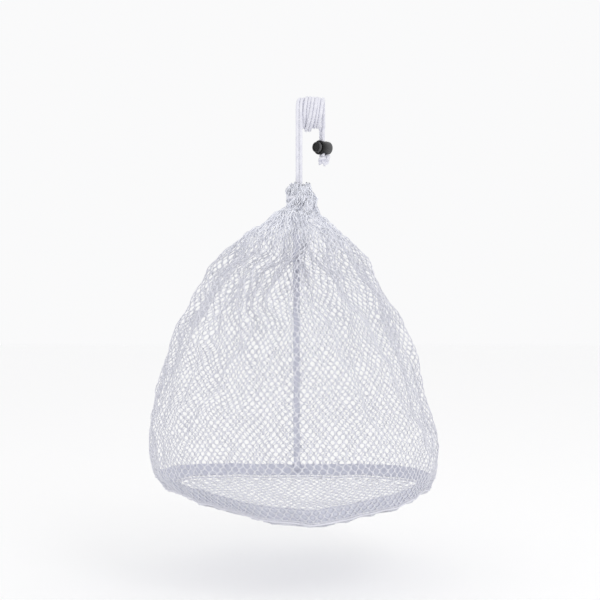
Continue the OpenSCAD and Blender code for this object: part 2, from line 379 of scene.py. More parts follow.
def braided(name, line, radius=CORD_R, sides=BRAID_SIDES, ends=(1.0, 1.0)):
    """A braided tube along a line in mm. ends are how wide it is at its first and last ring."""
    along = lengths_along(line)[:, None]
    around = (np.arange(sides) * 2 * math.pi / sides)[None, :]
    taper = np.ones(len(line))
    shape = np.sqrt(np.linspace(0, 1, END_RINGS))
    taper[:END_RINGS] = ends[0] + (1 - ends[0]) * shape
    taper[-END_RINGS:] = (ends[1] + (1 - ends[1]) * shape)[::-1]
    depth = radius / CORD_R * BRAID_DEPTH
    r = (radius - depth * BRAID_FLOOR + depth * braid_relief(around, along)) * taper[:, None]
    points, quads = tube_parts(line, (0, 1, 0), sides, r)
    n = len(line)
    ring = np.arange(sides)
    points = np.vstack([points, line[:1], line[-1:]])
    near = np.stack([np.full(sides, n * sides), (ring + 1) % sides, ring], 1)
    far = np.stack([np.full(sides, n * sides + 1), (n - 1) * sides + ring,
                    (n - 1) * sides + (ring + 1) % sides], 1)
    return mesh_object(name, points, [quads, near, far], CORD)


def make_strands():
    """The two strands of the doubled drawcord, each one piece from the casing to the knot."""
    made = {}
    for name, side, nodes in (("cord_strand_left", -1, ("cord_drop_a", "rail_coil", "cord_tail_a")),
                              ("cord_strand_right", 1, ("cord_drop_b", "cord_tail_b"))):
        line = strand_path(side)
        piece = braided(name, line)
        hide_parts(*nodes)
        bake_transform(piece)
        made[name] = (piece, line)
    return made


KNOT_AT = np.array([27.0, 14.25, -46.8])
KNOT_SIZE = (1.85, 1.7, 1.26)
KNOT_TURN = math.radians(25)
KNOT_OPENING = 0.35      # radians: where on its loop the knot's cord begins and ends
KNOT_CORD_R = 1.7
STUB_R = 1.6
TUFT_FIBRES = 16
FIBRE_R = 0.16


def knot_line(offset):
    """One of the two parallel strands of an overhand knot, drawn up tight."""
    t = np.linspace(KNOT_OPENING, 2 * math.pi + KNOT_OPENING, 220)
    x = np.sin(t) + 2 * np.sin(2 * t)
    z = np.cos(t) - 2 * np.cos(2 * t)
    y = -1.25 * np.sin(3 * t)
    line = np.stack([KNOT_SIZE[0] * x, KNOT_SIZE[1] * y, KNOT_SIZE[2] * z], 1)
    line = line + offset * np.array([0.25, 1.0, 0.35])
    spun = line.copy()
    spun[:, 0] = line[:, 0] * math.cos(KNOT_TURN) - line[:, 2] * math.sin(KNOT_TURN)
    spun[:, 2] = line[:, 0] * math.sin(KNOT_TURN) + line[:, 2] * math.cos(KNOT_TURN)
    return even_line(spun + KNOT_AT, BRAID_STEP)


def joined(name, pieces):
    """Several mesh objects as one."""
    with bpy.context.temp_override(active_object=pieces[0], selected_editable_objects=pieces,
                                   object=pieces[0], selected_objects=pieces):
        bpy.ops.object.join()
    pieces[0].name = name
    return pieces[0]


def make_knot():
    loops = []
    for i, offset in enumerate((-1.3, 1.3)):
        loops.append(braided(f"loop{i}", knot_line(offset), radius=KNOT_CORD_R))
    knot = joined("stop_knot", loops)
    belongs(knot, "rail_cord", "cord", "end_knot")
    return knot


def make_cord_ends():
    """The two cut ends under the knot, each with a little tuft of loose yarn."""
    parts = []
    for i, knots in enumerate(([[-2.4, -0.8, -1.6], [-4.0, -1.8, -3.2], [-5.4, -2.4, -5.0]],
                               [[0.2, -1.2, -2.6], [0.0, -2.2, -4.4], [-0.4, -2.8, -6.2]])):
        line = even_line(smooth_line(np.array(knots) + KNOT_AT, 10), BRAID_STEP)
        parts.append(braided(f"stub{i}", line, radius=STUB_R, ends=(1.0, 0.86)))
        heading = unit(line[-1] - line[-4])
        for k in range(TUFT_FIBRES):
            spread = rng.normal(0, 0.55, 3)
            start = line[-1] + spread - heading * 0.6
            tip = start + heading * rng.uniform(0.9, 1.6) + spread * rng.uniform(0.1, 0.5)
            parts.append(fibre(f"fibre{i}_{k}", start, tip, FIBRE_R))
    ends = joined("cord_end_stubs", parts)
    belongs(ends, "rail_cord", "cord", "cord_ends")
    return ends


def tube(name, line, radii, sides, material):
    """A round tube along a line, with a radius for each of its points."""
    points, quads = tube_parts(line, (0.3, 1, 0.2), sides, radii[:, None])
    ring = np.arange(sides)
    return mesh_object(name, points, [quads, [ring[::-1]], [(len(line) - 1) * sides + ring]], material)


def fibre(name, start, tip, radius):
    """A loose end of yarn, thinner towards its tip."""
    return tube(name, np.linspace(start, tip, 4), radius * np.array([1, 1, 0.8, 0.3]), 6, CORD)


SPRING = (2.9, 8.1)      # mm: its two ends, along the lock
SPRING_TURNS = 3.5
SPRING_R = 2.9
WIRE_R = 0.25


def along_lock(x):
    """A place on the lock's axis, in mm."""
    turn = math.radians(LOCK_TURN)
    return np.array([TAIL_X + x * math.cos(turn), -HANG_Y + x * math.sin(turn), LOCK_Z])


def make_spring():
    """The steel spring behind the button, built at one fixed length; the real one shortens as the button is
    pressed.
    """
    t = np.linspace(0, 1, 120)[:, None]
    spin = 2 * math.pi * SPRING_TURNS * t
    axis = unit(along_lock(1) - along_lock(0))
    across = np.cross(axis, [0, 0, 1.0])
    line = along_lock(SPRING[0]) + (SPRING[1] - SPRING[0]) * t * axis
    line = line + SPRING_R * (np.cos(spin) * across + np.sin(spin) * np.array([0, 0, 1.0]))
    spring = tube("spring", line, np.full(len(line), WIRE_R), 8, STEEL)
    belongs(spring, "lock", "spring_steel", "lock_spring")
    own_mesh(spring)
    return spring


strands = make_strands()
knot = make_knot()
cord_ends = make_cord_ends()
spring = make_spring()
nodes = frame["nodes"]


# ---------------- the cord inside the casing
CHANNEL_R = 11.2
CORD_Z = -90
# How one strand turns from the hanging cord into the ring in the casing, from the ring's middle
DIVE = np.array([[1.7, 0, 5.6], [1.7, 0, 4], [1.7, 0.5, 2.5], [1.7, 1.8, 0.7], [1.7, 3.9, 0],
                 [1.9, 6.2, 0], [3.0, 8.2, 0], [5.2, 9.4, 0]])


def make_casing_cord():
    turns = np.radians(np.arange(46, -229, -22.67))
    ring = np.stack([CHANNEL_R * np.cos(turns), CHANNEL_R * np.sin(turns), 0 * turns], 1)
    mirror = DIVE[::-1] * [-1, 1, 1]
    line = smooth_line(np.vstack([DIVE, ring, mirror]) + [0, HANG_Y, CORD_Z], 8)
    piece = braided("cord_in_casing", even_line(line, BRAID_STEP), sides=24)
    belongs(piece, "bag", "cord", "casing_cord")


make_casing_cord()


# ---------------- the wall net's surface
CELLS_ROUND = 118
CELL_W = 7.85            # a row's pitch
CELL_H = 4.72            # from one row to the next, which is shifted by half a pitch
SIDE = math.hypot(CELL_W / 2, CELL_H)
LEAST_ROW = 3            # a row's height where the cells are pulled widest
FABRIC_W = CELLS_ROUND * CELL_W
SAMPLES = CELLS_ROUND * 12

WALL_LOW = -400.5        # the bottom seam, at its lowest
# The bag's outline: height, left edge, right edge, half its depth. It starts at the hem inside the casing,
# goes over the casing's folded top, and ends at the bottom seam.
OUTLINE = np.array([
    [-99, -8.5, 8.5, 8.5], [-92, -8, 8, 8], [-84, -7.2, 7.4, 7.4], [-78, -7, 7.2, 7.2],
    [-76.2, -7.8, 8, 8], [-78.5, -9.5, 9.5, 10], [-86, -12.7, 13.2, 13.2], [-93, -14, 16, 15.5],
    [-99, -15.5, 17.5, 17], [-103, -20, 18.5, 19.5], [-107.5, -27.5, 20, 24.5], [-112, -33, 23, 29],
    [-118, -40.5, 30.5, 36.5], [-127, -54, 41, 48], [-138, -63.5, 51.5, 58], [-160, -83.5, 62.5, 73.5],
    [-180, -97, 74.5, 86], [-202, -107, 86.5, 98], [-228, -125.5, 96, 111], [-255, -135, 109.5, 122.5],
    [-288, -143.5, 121.5, 132.5], [-310, -149, 128.5, 139], [-334, -153, 138.5, 145.5],
    [-350, -151.5, 141, 146.5], [-368, -150, 141, 145.5], [-381, -148.5, 139.5, 143],
    [-388, -144.5, 137, 141.5], [-394, -138.5, 134, 139.5], [WALL_LOW, -131.5, 131, 136.5]])
# How far the bottom seam stands above its lowest point, by degrees from the front
SEAM_LIFT = np.array([
    [-180, 1], [-160, 3], [-140, 7], [-115, 11], [-95, 13], [-75, 15.5], [-60, 17], [-51, 16.8], [-37, 13],
    [-27, 9.6], [-17, 5], [-8, 2.6], [0, 1.2], [5, 0], [12, 1.5], [20, 3.4], [26.5, 5.6], [34, 7.6],
    [44.6, 9], [54, 14], [68, 16], [80, 13], [95, 10], [115, 9], [140, 6], [165, 2], [180, 1]])
LIFT_TOP = -215          # mm: above this the seam's rise and fall no longer moves the net
INNER_ROWS = 4           # knots of the outline inside the casing
OUTLINE_STEPS = 10       # steps between two of its knots


def swirl(angle, drift, waves, seed):
    """A smooth irregular wave round the bag, about 1 high, that changes slowly with drift."""
    random = np.random.default_rng(seed)
    total = 0
    for k in range(1, waves + 1):
        phase, pace = random.uniform(0, 2 * math.pi), random.normal(0, 1)
        total = total + random.uniform(0.5, 1) * np.cos(k * angle + phase + pace * drift)
    return total / math.sqrt(waves / 2)


def fade(x, start, end):
    """From 1 at start to 0 at end, or the other way about where end is the smaller."""
    t = np.clip((x - start) / (end - start), 0, 1)
    return 1 - t * t * (3 - 2 * t)


# Single folds: angles from the front in degrees and heights along each, then its width, how high its ridge
# stands, and its lean
FOLDS = [
    ([[-19, -225], [-20.3, -242], [-29.2, -288], [-39.5, -336], [-44, -352]], 7, 8.5, 0.6),
    ([[-5, -190], [-7.1, -247], [-8.6, -284], [-5.2, -321], [-3, -340]], 6, 6.0, -0.4),
    ([[13, -215], [14.0, -234], [16.5, -283], [17, -300]], 6, 4.5, 0.3),
    ([[22, -215], [24.6, -234], [25.3, -262], [31.5, -312], [34.6, -330]], 7, 6.5, -0.5),
    ([[50, -262], [51.1, -280], [53.8, -309], [55, -325]], 7, 5.0, 0.3),
    ([[-78, -230], [-72, -280], [-66, -335]], 8, 5.0, 0.3),
    ([[84, -220], [80, -280], [76, -330]], 8, 5.0, -0.3),
    ([[118, -200], [112, -250], [115, -310]], 8, 6.0, 0.4),
    ([[150, -215], [154, -270], [149, -335]], 7, 6.0, -0.3),
    ([[-160, -205], [-155, -260], [-158, -320]], 8, 6.5, 0.4),
    ([[-122, -220], [-128, -270], [-123, -330]], 7, 5.5, -0.4),
    ([[14, -78], [5.5, -98], [9, -112], [15, -126]], 3, -4.5, 0.0),
    ([[10, -126], [10, -140], [9, -166]], 3, 3.2, 0.3),
    ([[18, -126], [18.5, -140], [21, -164]], 3, 3.6, -0.3),
    ([[27, -126], [27.5, -140], [29, -160]], 3, 3.2, -0.3),
    ([[-60, -112], [-38, -150], [-30, -190]], 6, 6.0, 0.3),
    ([[40, -112], [36, -150], [40, -200]], 6, 5.0, -0.3),
]
FOLD_HEIGHT = 1.3        # all the single folds' ridges are this much higher
FOLD_SOFT = 34           # mm: a single fold fades out over no more than this at each end
SLOWEST_WAVES = 3
FOLD_DRIFT = 70          # mm of height over which the gathers' pattern changes
SIDE_GATHER = 0.45       # how steep the folds above the belly are at the bag's sides
CENTRE_GATHER = 1.95     # and at its front and back
SEAM_X = -2.8            # mm: where the back seam hangs, under the neck
PINCH = (15, -124, 12, 8)   # degrees from the front, height, width and depth of the dent under the neck
# The net's small shifts: wavelength, then size where it hangs loose and where it is gathered
TOUSLE_WAVES = ((6, 0.04, 0.5), (9, 0.12, 0.95), (14, 0.32, 1.35), (25, 0.8, 1.2), (43, 1.3, 0.9))


def tousle(points, tight):
    """Small irregular shifts of the net, larger where it is gathered tight."""
    random = np.random.default_rng(31)
    total = np.zeros_like(points)
    for wavelength, loose, gathered in TOUSLE_WAVES:
        for _ in range(5):
            heading = unit(random.normal(0, 1, 3)) * 2 * math.pi / wavelength
            wave = np.sin(points @ heading + random.uniform(0, 2 * math.pi))
            size = loose + (gathered - loose) * tight
            total += wave[..., None] * unit(random.normal(0, 1, 3)) * size / 1.6
    return total


class Wall:
    """The net's surface, as a grid: rows down the fabric, columns round it from the back seam."""

    def __init__(self):
        line = smooth_line(OUTLINE, OUTLINE_STEPS)
        half = (line[:, 2] - line[:, 1]) / 2
        run = lengths_along(np.stack([(half + line[:, 3]) / 2, line[:, 0]], 1))
        self.run = np.arange(0, run[-1], 1.0)
        self.run = np.append(self.run, run[-1])
        self.z = np.interp(self.run, run, line[:, 0])
        self.half = np.interp(self.run, run, half)
        self.depth = np.interp(self.run, run, line[:, 3])
        self.middle = np.interp(self.run, run, (line[:, 1] + line[:, 2]) / 2)
        self.top_run = np.interp(INNER_ROWS * OUTLINE_STEPS, np.arange(len(run)), run)
        self.build()

    def tilt_of_folds(self, angle, radius, z):
        """How far the fabric's course turns from the circle, in radians, at each grid point."""
        drift = (z - z[0]) / FOLD_DRIFT
        # How steep each kind of fold is, by the bag's radius there
        fine = 1.1 * fade(radius, 19, 46)
        centre = SIDE_GATHER + (CENTRE_GATHER - SIDE_GATHER) * np.cos(angle)**2
        middle = centre * fade(radius, 62, 124) * (1 - fade(radius, 9, 28)) + 0.75 * fade(radius, 8, 28)
        broad = 0.8 * fade(radius, 95, 150) * (1 - fade(radius, 30, 75))
        slight = 0.16 * (1 - fade(radius, 60, 130))
        # Where each kind lies: so many folds round the bag, pushed about by a slow wave
        fine_turn = 33 * angle + 2.6 * swirl(angle, 2 * drift, 12, 3)
        middle_turn = 25 * angle + 1.7 * swirl(angle, drift, 9, 4)
        broad_turn = 11 * angle + 1.1 * swirl(angle, 0.7 * drift, 5, 5)
        deep = 1 + 0.28 * swirl(angle, drift, 8, 6)
        return (fine * np.sin(fine_turn) * (1 + 0.25 * swirl(angle, drift, 12, 7))
                + middle * np.sin(middle_turn) * deep
                + broad * np.sin(broad_turn) * deep
                + slight * np.sin(29 * angle + 2.5 * swirl(angle, 2 * drift, 8, 8)))

    def single_folds(self, angle, radius, z):
        """The same for the folds that are placed one by one."""
        tilt = 0
        for line, width, height, lean in FOLDS:
            line = np.array(line, float)
            order = np.argsort(line[:, 1])
            at = np.radians(np.interp(z, line[order, 1], line[order, 0]))
            low, high = line[:, 1].min(), line[:, 1].max()
            soft = min(FOLD_SOFT, 0.45 * (high - low))
            strength = self.window(z, low - 0.4 * soft, high + 0.4 * soft, soft)
            off = (angle - at) * radius / width
            bell = np.exp(-off**2 / 2)
            tilt = tilt - FOLD_HEIGHT * height / width * strength * bell * (off + lean * (1 - off**2))
        return tilt

    @staticmethod
    def window(z, low, high, soft):
        """1 between low and high, and 0 outside them."""
        return (1 - fade(z, low, low + soft)) * fade(z, high - soft, high)

    def folded_rows(self, angle, radius, z):
        """Each row of the fabric, folded so that its length stays its own: its turn and its distance out."""
        tilt = self.tilt_of_folds(angle, radius, z) + self.single_folds(angle, radius, z)
        step = FABRIC_W / SAMPLES
        dx = np.cos(tilt) * step
        dy = np.sin(tilt) * step
        x = np.cumsum(dx, axis=1) - dx
        total = x[:, -1:] + dx[:, -1:]
        squeeze = 2 * math.pi * radius / total
        x = (x - x[:, :1]) * squeeze
        dy = dy - dy.mean(axis=1, keepdims=True)
        y = np.cumsum(dy, axis=1)
        # The outline sets the bag's place and its broad shape, so the folds' own slowest waves go
        waves = np.fft.rfft(y, axis=1)
        waves[:, :SLOWEST_WAVES] = 0
        y = np.fft.irfft(waves, n=SAMPLES, axis=1) * squeeze
        self.squeeze = squeeze[:, 0]
        turn = x / radius - math.pi
        # The back seam hangs straight, so the net near it shifts round a little
        drift = np.arcsin(np.clip((self.middle[:, None] - SEAM_X) / radius, -0.5, 0.5))
        turn = turn + drift * (1 - np.cos(turn)) / 2 * (1 - fade(radius, 16, 40))
        return turn, y

    def lift(self, angle, turn, z):
        """How far the net is raised: ruffled at the mouth, and by the seam's rise and fall at the bottom."""
        ruffle = fade(abs(self.run[:, None] - self.top_run), 0, 16)
        lift = ruffle * 1.3 * (swirl(angle, 0, 17, 21) + swirl(angle, 0, 31, 22))
        seam_lift = np.interp(np.degrees(turn), SEAM_LIFT[:, 0], SEAM_LIFT[:, 1])
        return lift + fade(z, WALL_LOW, LIFT_TOP) * seam_lift

    def build(self):
        angle = ((np.arange(SAMPLES) / SAMPLES) * 2 * math.pi - math.pi)[None, :]
        z = self.z[:, None]
        radius = self.half[:, None]
        turn, out = self.folded_rows(angle, radius, z)
        r = radius + out
        dent_turn, dent_z, dent_w, dent_d = PINCH
        dent = (turn - math.radians(dent_turn)) * radius, z - dent_z
        r = r - dent_d * np.exp(-(dent[0]**2 + dent[1]**2) / (2 * dent_w**2))
        deep = (self.depth / self.half)[:, None]
        self.points = np.stack([self.middle[:, None] + r * np.sin(turn), HANG_Y - r * deep * np.cos(turn),
                                z + self.lift(angle, turn, z) + 0 * turn], -1)
        calm = 1 - 0.75 * fade(self.run[-1] - self.run, 14, 60)[:, None, None]
        self.points = self.points + calm * tousle(self.points, fade(radius, 20, 75)[..., None])
        self.normals = self.outward_normals(turn)
        half_cell = np.clip(self.squeeze, 0.3, 1.05) * CELL_W / 2
        tall = np.sqrt(np.maximum(SIDE**2 - half_cell**2, LEAST_ROW**2))
        self.rows = np.concatenate([[0], np.cumsum(np.diff(self.run) / ((tall[1:] + tall[:-1]) / 2))])

    def outward_normals(self, turn):
        around = np.roll(self.points, -1, 1) - np.roll(self.points, 1, 1)
        down = np.gradient(self.points, axis=0)
        normals = unit(np.cross(down, around))
        outward = np.sin(turn) * normals[..., 0] - np.cos(turn) * normals[..., 1]
        return -normals if np.median(outward[len(outward) // 2:]) < 0 else normals

    def row_of(self, run):
        return float(np.interp(run, self.run, self.rows))

    def at(self, across, row):
        """Place and normal at fabric places: across in cells from the back seam, row in rows of cells."""
        run = np.interp(row, self.rows, self.run)
        g = np.clip(np.interp(run, self.run, np.arange(len(self.run))), 0, len(self.run) - 1.001)
        i = g.astype(int)
        f = (g - i)[:, None]
        h = (across / CELLS_ROUND * SAMPLES) % SAMPLES
        j = h.astype(int) % SAMPLES
        e = (h - np.floor(h))[:, None]
        k = (j + 1) % SAMPLES

        def read(grid):
            near = grid[i, j] * (1 - e) + grid[i, k] * e
            far = grid[i + 1, j] * (1 - e) + grid[i + 1, k] * e
            return near * (1 - f) + far * f

        return read(self.points), unit(read(self.normals))


wall = Wall()
LAST_ROW = int(wall.rows[-1])

# ---------------- the net
Y0 = (CELL_H**2 - CELL_W**2 / 4) / (2 * CELL_H)   # half the length of a cell's upright edges
Y1 = CELL_H - Y0                                  # its top and bottom corners
NET_T = 0.95             # thickness of a strand
HOLE_X = 3.03
HOLE_Y = 3.14
HOLE_SHAPE = 1.5         # 1 is a diamond, 2 an ellipse
HOLE_LEAST = 0.9         # half the width of a hole where the net is gathered tightest
HOLE_SECOND = math.radians(24)   # where on its ring a hole's second point lies
JOIN = CELL_W / 2 - HOLE_X
# A cell's vertices: top, bottom, right, and the middles of its upper right and upper left sides
CORNERS = {"T": (0, Y1), "B": (0, -Y1), "R": (CELL_W / 2, 0),
           "UR": (CELL_W / 4, (Y0 + Y1) / 2), "UL": (-CELL_W / 4, (Y0 + Y1) / 2)}
CASING_H = 24            # mm of net from the casing's folded top down to its stitches
PANELS = ["wall_net_back_left", "wall_net_front_left", "wall_net_front_right", "wall_net_back_right"]
PANEL_EDGES = [0, 29, 59, 88, CELLS_ROUND]


def hole_ring(squeeze):
    """The twelve points of a cell's hole, a diamond with round corners, for each cell's squeeze."""
    targets = [(0.5, 0), (0.5, Y0 / CELL_W), (0.25, (Y0 + Y1) / 2 / CELL_W), (0, Y1 / CELL_W),
               (-0.25, (Y0 + Y1) / 2 / CELL_W), (-0.5, Y0 / CELL_W)]
    angles = [math.atan2(y, x) for x, y in targets]
    angles[1] = HOLE_SECOND
    angles[5] = math.pi - angles[1]
    angles = np.array(angles + [a + math.pi for a in angles])
    width = np.maximum(CELL_W / 2 - JOIN / np.clip(squeeze, 0.45, 1.1), HOLE_LEAST)[:, None]
    c, s = np.cos(angles)[None, :], np.sin(angles)[None, :]
    r = (np.abs(c / width)**HOLE_SHAPE + np.abs(s / HOLE_Y)**HOLE_SHAPE)**(-1 / HOLE_SHAPE)
    return np.stack([r * c, r * s], -1)


class Lattice:
    """Cells of a net between two columns and two rows, with the vertices that neighbours share."""

    def __init__(self, columns, rows):
        j, i = np.meshgrid(np.arange(rows[0], rows[1]), np.arange(columns[0], columns[1]), indexing="ij")
        self.i, self.j = i.ravel(), j.ravel()
        self.centre = np.stack([(self.i + 0.5 * (self.j & 1)) * CELL_W, self.j * CELL_H], 1)
        self.made = {}
        self.places = []

    def vertex(self, i, j, kind):
        """The number of one of a cell's vertices, made when it is first asked for."""
        key = (i, j, kind)
        if key not in self.made:
            dx, dy = CORNERS[kind]
            self.made[key] = len(self.places)
            self.places.append(((i + 0.5 * (j & 1)) * CELL_W + dx, j * CELL_H + dy))
        return self.made[key]

    def rings(self):
        """For each cell, the twelve shared vertices round it."""
        out = []
        for i, j in zip(self.i.tolist(), self.j.tolist()):
            right = i + (j & 1)
            left = right - 1
            out.append([self.vertex(i, j, "R"), self.vertex(right, j + 1, "B"), self.vertex(i, j, "UR"),
                        self.vertex(i, j, "T"), self.vertex(i, j, "UL"), self.vertex(left, j + 1, "B"),
                        self.vertex(i - 1, j, "R"), self.vertex(left, j - 1, "T"),
                        self.vertex(left, j - 1, "UR"), self.vertex(i, j, "B"),
                        self.vertex(right, j - 1, "UL"), self.vertex(right, j - 1, "T")])
        return np.array(out), np.array(self.places)


def net_mesh(name, columns, rows, surface, squeeze_at, material, keep=None):
    """A net of open cells laid on a surface. surface maps fabric places in mm to points and normals."""
    lattice = Lattice(columns, rows)
    if keep is not None:
        kept = keep(lattice.centre)
        lattice.i, lattice.j, lattice.centre = lattice.i[kept], lattice.j[kept], lattice.centre[kept]
    rings, places = lattice.rings()
    holes = hole_ring(squeeze_at(lattice.centre[:, 1])) + lattice.centre[:, None, :]
    edge_p, edge_n = surface(places)
    hole_p, _ = surface(holes.reshape(-1, 2))
    shared = len(places)
    points = np.vstack([edge_p + edge_n * NET_T / 2, edge_p - edge_n * NET_T / 2, hole_p])
    inner = 2 * shared + np.arange(len(rings) * 12).reshape(-1, 12)
    nxt = (np.arange(12) + 1) % 12
    front = np.stack([inner, rings, rings[:, nxt], inner[:, nxt]], -1).reshape(-1, 4)
    back = np.stack([inner, inner[:, nxt], rings[:, nxt] + shared, rings + shared], -1).reshape(-1, 4)
    return mesh_object(name, points, [front, back, rim_faces(rings, shared)], material)


def rim_faces(rings, shared):
    """Faces that close the net's outer edge between its two sides."""
    a = rings.ravel()
    b = np.roll(rings, -1, axis=1).ravel()
    pairs = np.stack([a, b], 1)
    keys = set(map(tuple, pairs.tolist()))
    rim = np.array([p for p in keys if (p[1], p[0]) not in keys])
    return np.stack([rim[:, 0], rim[:, 0] + shared, rim[:, 1] + shared, rim[:, 1]], 1)


def wall_surface(places):
    return wall.at(places[:, 0] / CELL_W, wall.rows[-1] - places[:, 1] / CELL_H)


def wall_squeeze(heights):
    return np.interp(wall.rows[-1] - heights / CELL_H, wall.rows, wall.squeeze)


def make_wall():
    """The wall net in four panels and the casing, all of one fabric. Rows count up from the bottom seam."""
    split = int(wall.rows[-1] - wall.row_of(wall.top_run + CASING_H))
    for k, name in enumerate(PANELS):
        columns = (PANEL_EDGES[k], PANEL_EDGES[k + 1])
        panel = net_mesh(name, columns, (1, split), wall_surface, wall_squeeze, NET)
        belongs(panel, "bag", "net", *(["body_net"] if k == 0 else []))
    casing = net_mesh("drawcord_casing", (0, CELLS_ROUND), (split, LAST_ROW), wall_surface, wall_squeeze,
                      NET)
    belongs(casing, "bag", "net", "mouth_casing")


make_wall()


# ---------------- the base
SAG = 20                 # mm: how far the panel's middle hangs down, below about the seam's lower half
SAG_FROM = WALL_LOW + 2.5
BASE_R = 131.0           # mm: the flat panel's radius
BASE_REACH = 0.993       # how much of the way out to the wall's edge the panel goes


def rim_at(turn):
    """The wall net's lower edge at an angle from +X, as radius, place and height."""
    edge = wall.points[-1]
    around = np.arctan2(edge[:, 1] - HANG_Y, edge[:, 0])
    order = np.argsort(around)
    around, edge = around[order], edge[order]
    return np.stack([np.interp(turn, around, edge[:, k], period=2 * math.pi) for k in range(3)], 1)


def base_surface(places):
    """The round base panel: a shallow bowl with a little slack in it, puckered where it is sewn."""
    turn = np.arctan2(places[:, 1], places[:, 0])
    share = np.minimum(np.linalg.norm(places, axis=1) / BASE_R, 1)
    rim = rim_at(turn)
    x = rim[:, 0] * share * BASE_REACH
    y = (rim[:, 1] - HANG_Y) * share * BASE_REACH
    bowl = (1 - share**2)**1.25
    low = SAG_FROM - SAG
    z = rim[:, 2] - 0.6 + (low - rim[:, 2]) * bowl
    slack = 1 - share**2
    z = z + 1.3 * slack * np.sin(x / 23 + 0.6) * np.cos(y / 27) + 0.8 * slack * np.sin((x + 2 * y) / 15)
    pucker = np.sin(38 * turn + 2 * np.sin(3 * turn)) * fade(share, 1, 0.83) * (share < 0.999)
    points = np.stack([x, HANG_Y + y, z + 1.1 * pucker], 1)
    slope = 2.2 * SAG * share**1.2 / BASE_R
    normals = unit(np.stack([slope * np.cos(turn), slope * np.sin(turn), -np.ones_like(turn)], 1))
    return points, normals


def make_base():
    reach = int(BASE_R / CELL_W) + 2
    rows = int(BASE_R / CELL_H) + 2
    panel = net_mesh("base_net_panel", (-reach, reach + 1), (-rows, rows + 1), base_surface,
                     lambda heights: np.ones_like(heights), NET,
                     keep=lambda centre: np.linalg.norm(centre, axis=1) < BASE_R - 0.5)
    belongs(panel, "bag", "net", "base_net")


make_base()


# ---------------- tape, back seam and stitches
TAPE_ROWS = (0.75, 3.6)  # the tape's lower and upper edge, in rows of cells above the seam
TAPE_T = 0.6
EDGE_ROW = 0.3
EDGE_WINDS = 3           # turns of thread to a cell
BINDING_HALF = 3.6       # mm: half the width of the back seam's folded tape
BINDING_T = 0.9
SEAM_TOP = 55            # mm of net from the casing's folded top down to where the binding begins
STITCH_R = 0.34
STITCH_ARCH = 0.35       # how far a stitch's middle stands off the cloth
STITCHES = 300           # to a row


def strip_mesh(name, outer, inner, material, closed):
    """A flat closed strip between two grids of points: rows by columns, round the columns if closed."""
    rows, columns = outer.shape[:2]
    section = np.concatenate([outer, inner[::-1]], 0)
    count = 2 * rows
    points = section.transpose(1, 0, 2).reshape(-1, 3)
    span = columns if closed else columns - 1
    i = np.arange(span)[:, None] * count
    k = np.arange(count)[None, :]
    j = ((np.arange(span) + 1) % columns)[:, None] * count
    quads = np.stack([i + k, j + k, j + (k + 1) % count, i + (k + 1) % count], -1).reshape(-1, 4)
    caps = [] if closed else [[np.arange(count)], [np.arange(count)[::-1] + (columns - 1) * count]]
    return mesh_object(name, points, [quads, *caps], material)


def make_tape():
    """The woven tape that backs the net round the bottom seam."""
    low, high = TAPE_ROWS
    columns = np.arange(0, CELLS_ROUND, 0.125)
    a, height = np.meshgrid(columns, np.linspace(low, high, 20))
    p, n = wall.at(a.ravel(), wall.rows[-1] - height.ravel())
    p, n = p.reshape(*a.shape, 3), n.reshape(*a.shape, 3)
    # It swells a little into the holes of the net in front of it
    puff = (np.cos(math.pi * (a - height / 2)) * np.cos(math.pi * (a + height / 2)))**2
    outer = p - n * (1.1 - 0.9 * puff[..., None])
    inner = outer - n * TAPE_T
    tape = strip_mesh("seam_tape", outer, inner, TAPE, True)
    belongs(tape, "bag", "tape", "base_tape")


def make_back_seam():
    """The doubled edge of the wall net, up the inside of the back, with a tape folded over it."""
    rows = np.arange(wall.row_of(wall.top_run + SEAM_TOP), wall.rows[-1] - 2.2, 0.35)
    half = np.interp(rows, wall.rows, wall.half)
    middle = np.stack([np.full(len(rows), SEAM_X), HANG_Y + half, np.interp(rows, wall.rows, wall.z)], 1)
    slope = np.gradient(middle, axis=0)
    normal = unit(np.stack([0 * rows, -slope[:, 2], slope[:, 1]], 1))
    normal = normal * np.sign(normal[:, 1:2])
    inset = 3.2 + 2.6 * fade(half, 40, 110)
    middle = middle - normal * inset[:, None]
    wave = 0.7 * np.sin(rows * 0.9) + 0.6 * np.sin(rows * 0.37 + 1)
    across = np.linspace(-BINDING_HALF, BINDING_HALF, 9)
    sideways = across[:, None, None] + 0.35 * wave[None, :, None]
    grid = middle[None, :, :] + np.array([1.0, 0, 0]) * sideways
    bow = 0.5 * np.cos(across / BINDING_HALF * math.pi * 0.9)[:, None, None] * normal[None, :, :]
    outer = grid + bow + normal * (BINDING_T / 2)
    inner = grid + bow - normal * (BINDING_T / 2)
    # painted shade: the binding takes the tape's colour, painted darker and bluer for shade
    seam = strip_mesh("back_seam_binding", outer, inner, TAPE, False)
    belongs(seam, "bag", "net", "back_seam")


def make_edge():
    """The overlocked edge where the wall net, the tape and the base meet: a roll of wound thread."""
    columns = np.arange(0, CELLS_ROUND, 0.05)
    p, n = wall.at(columns, np.full(len(columns), wall.rows[-1] - EDGE_ROW))
    below, _ = wall.at(columns, np.full(len(columns), wall.rows[-1] - EDGE_ROW + 0.2))
    down = unit(below - p)
    winds = 0.85 + 0.16 * np.abs(np.sin(math.pi * columns * EDGE_WINDS))
    spin = np.radians([0, 45, 90, 135, 315, 270, 225, 180])
    rings = p + winds[:, None] * (np.cos(spin)[:, None, None] * n + np.sin(spin)[:, None, None] * down)
    return strip_mesh("edge_roll", rings[:4], rings[4:], THREAD, True)


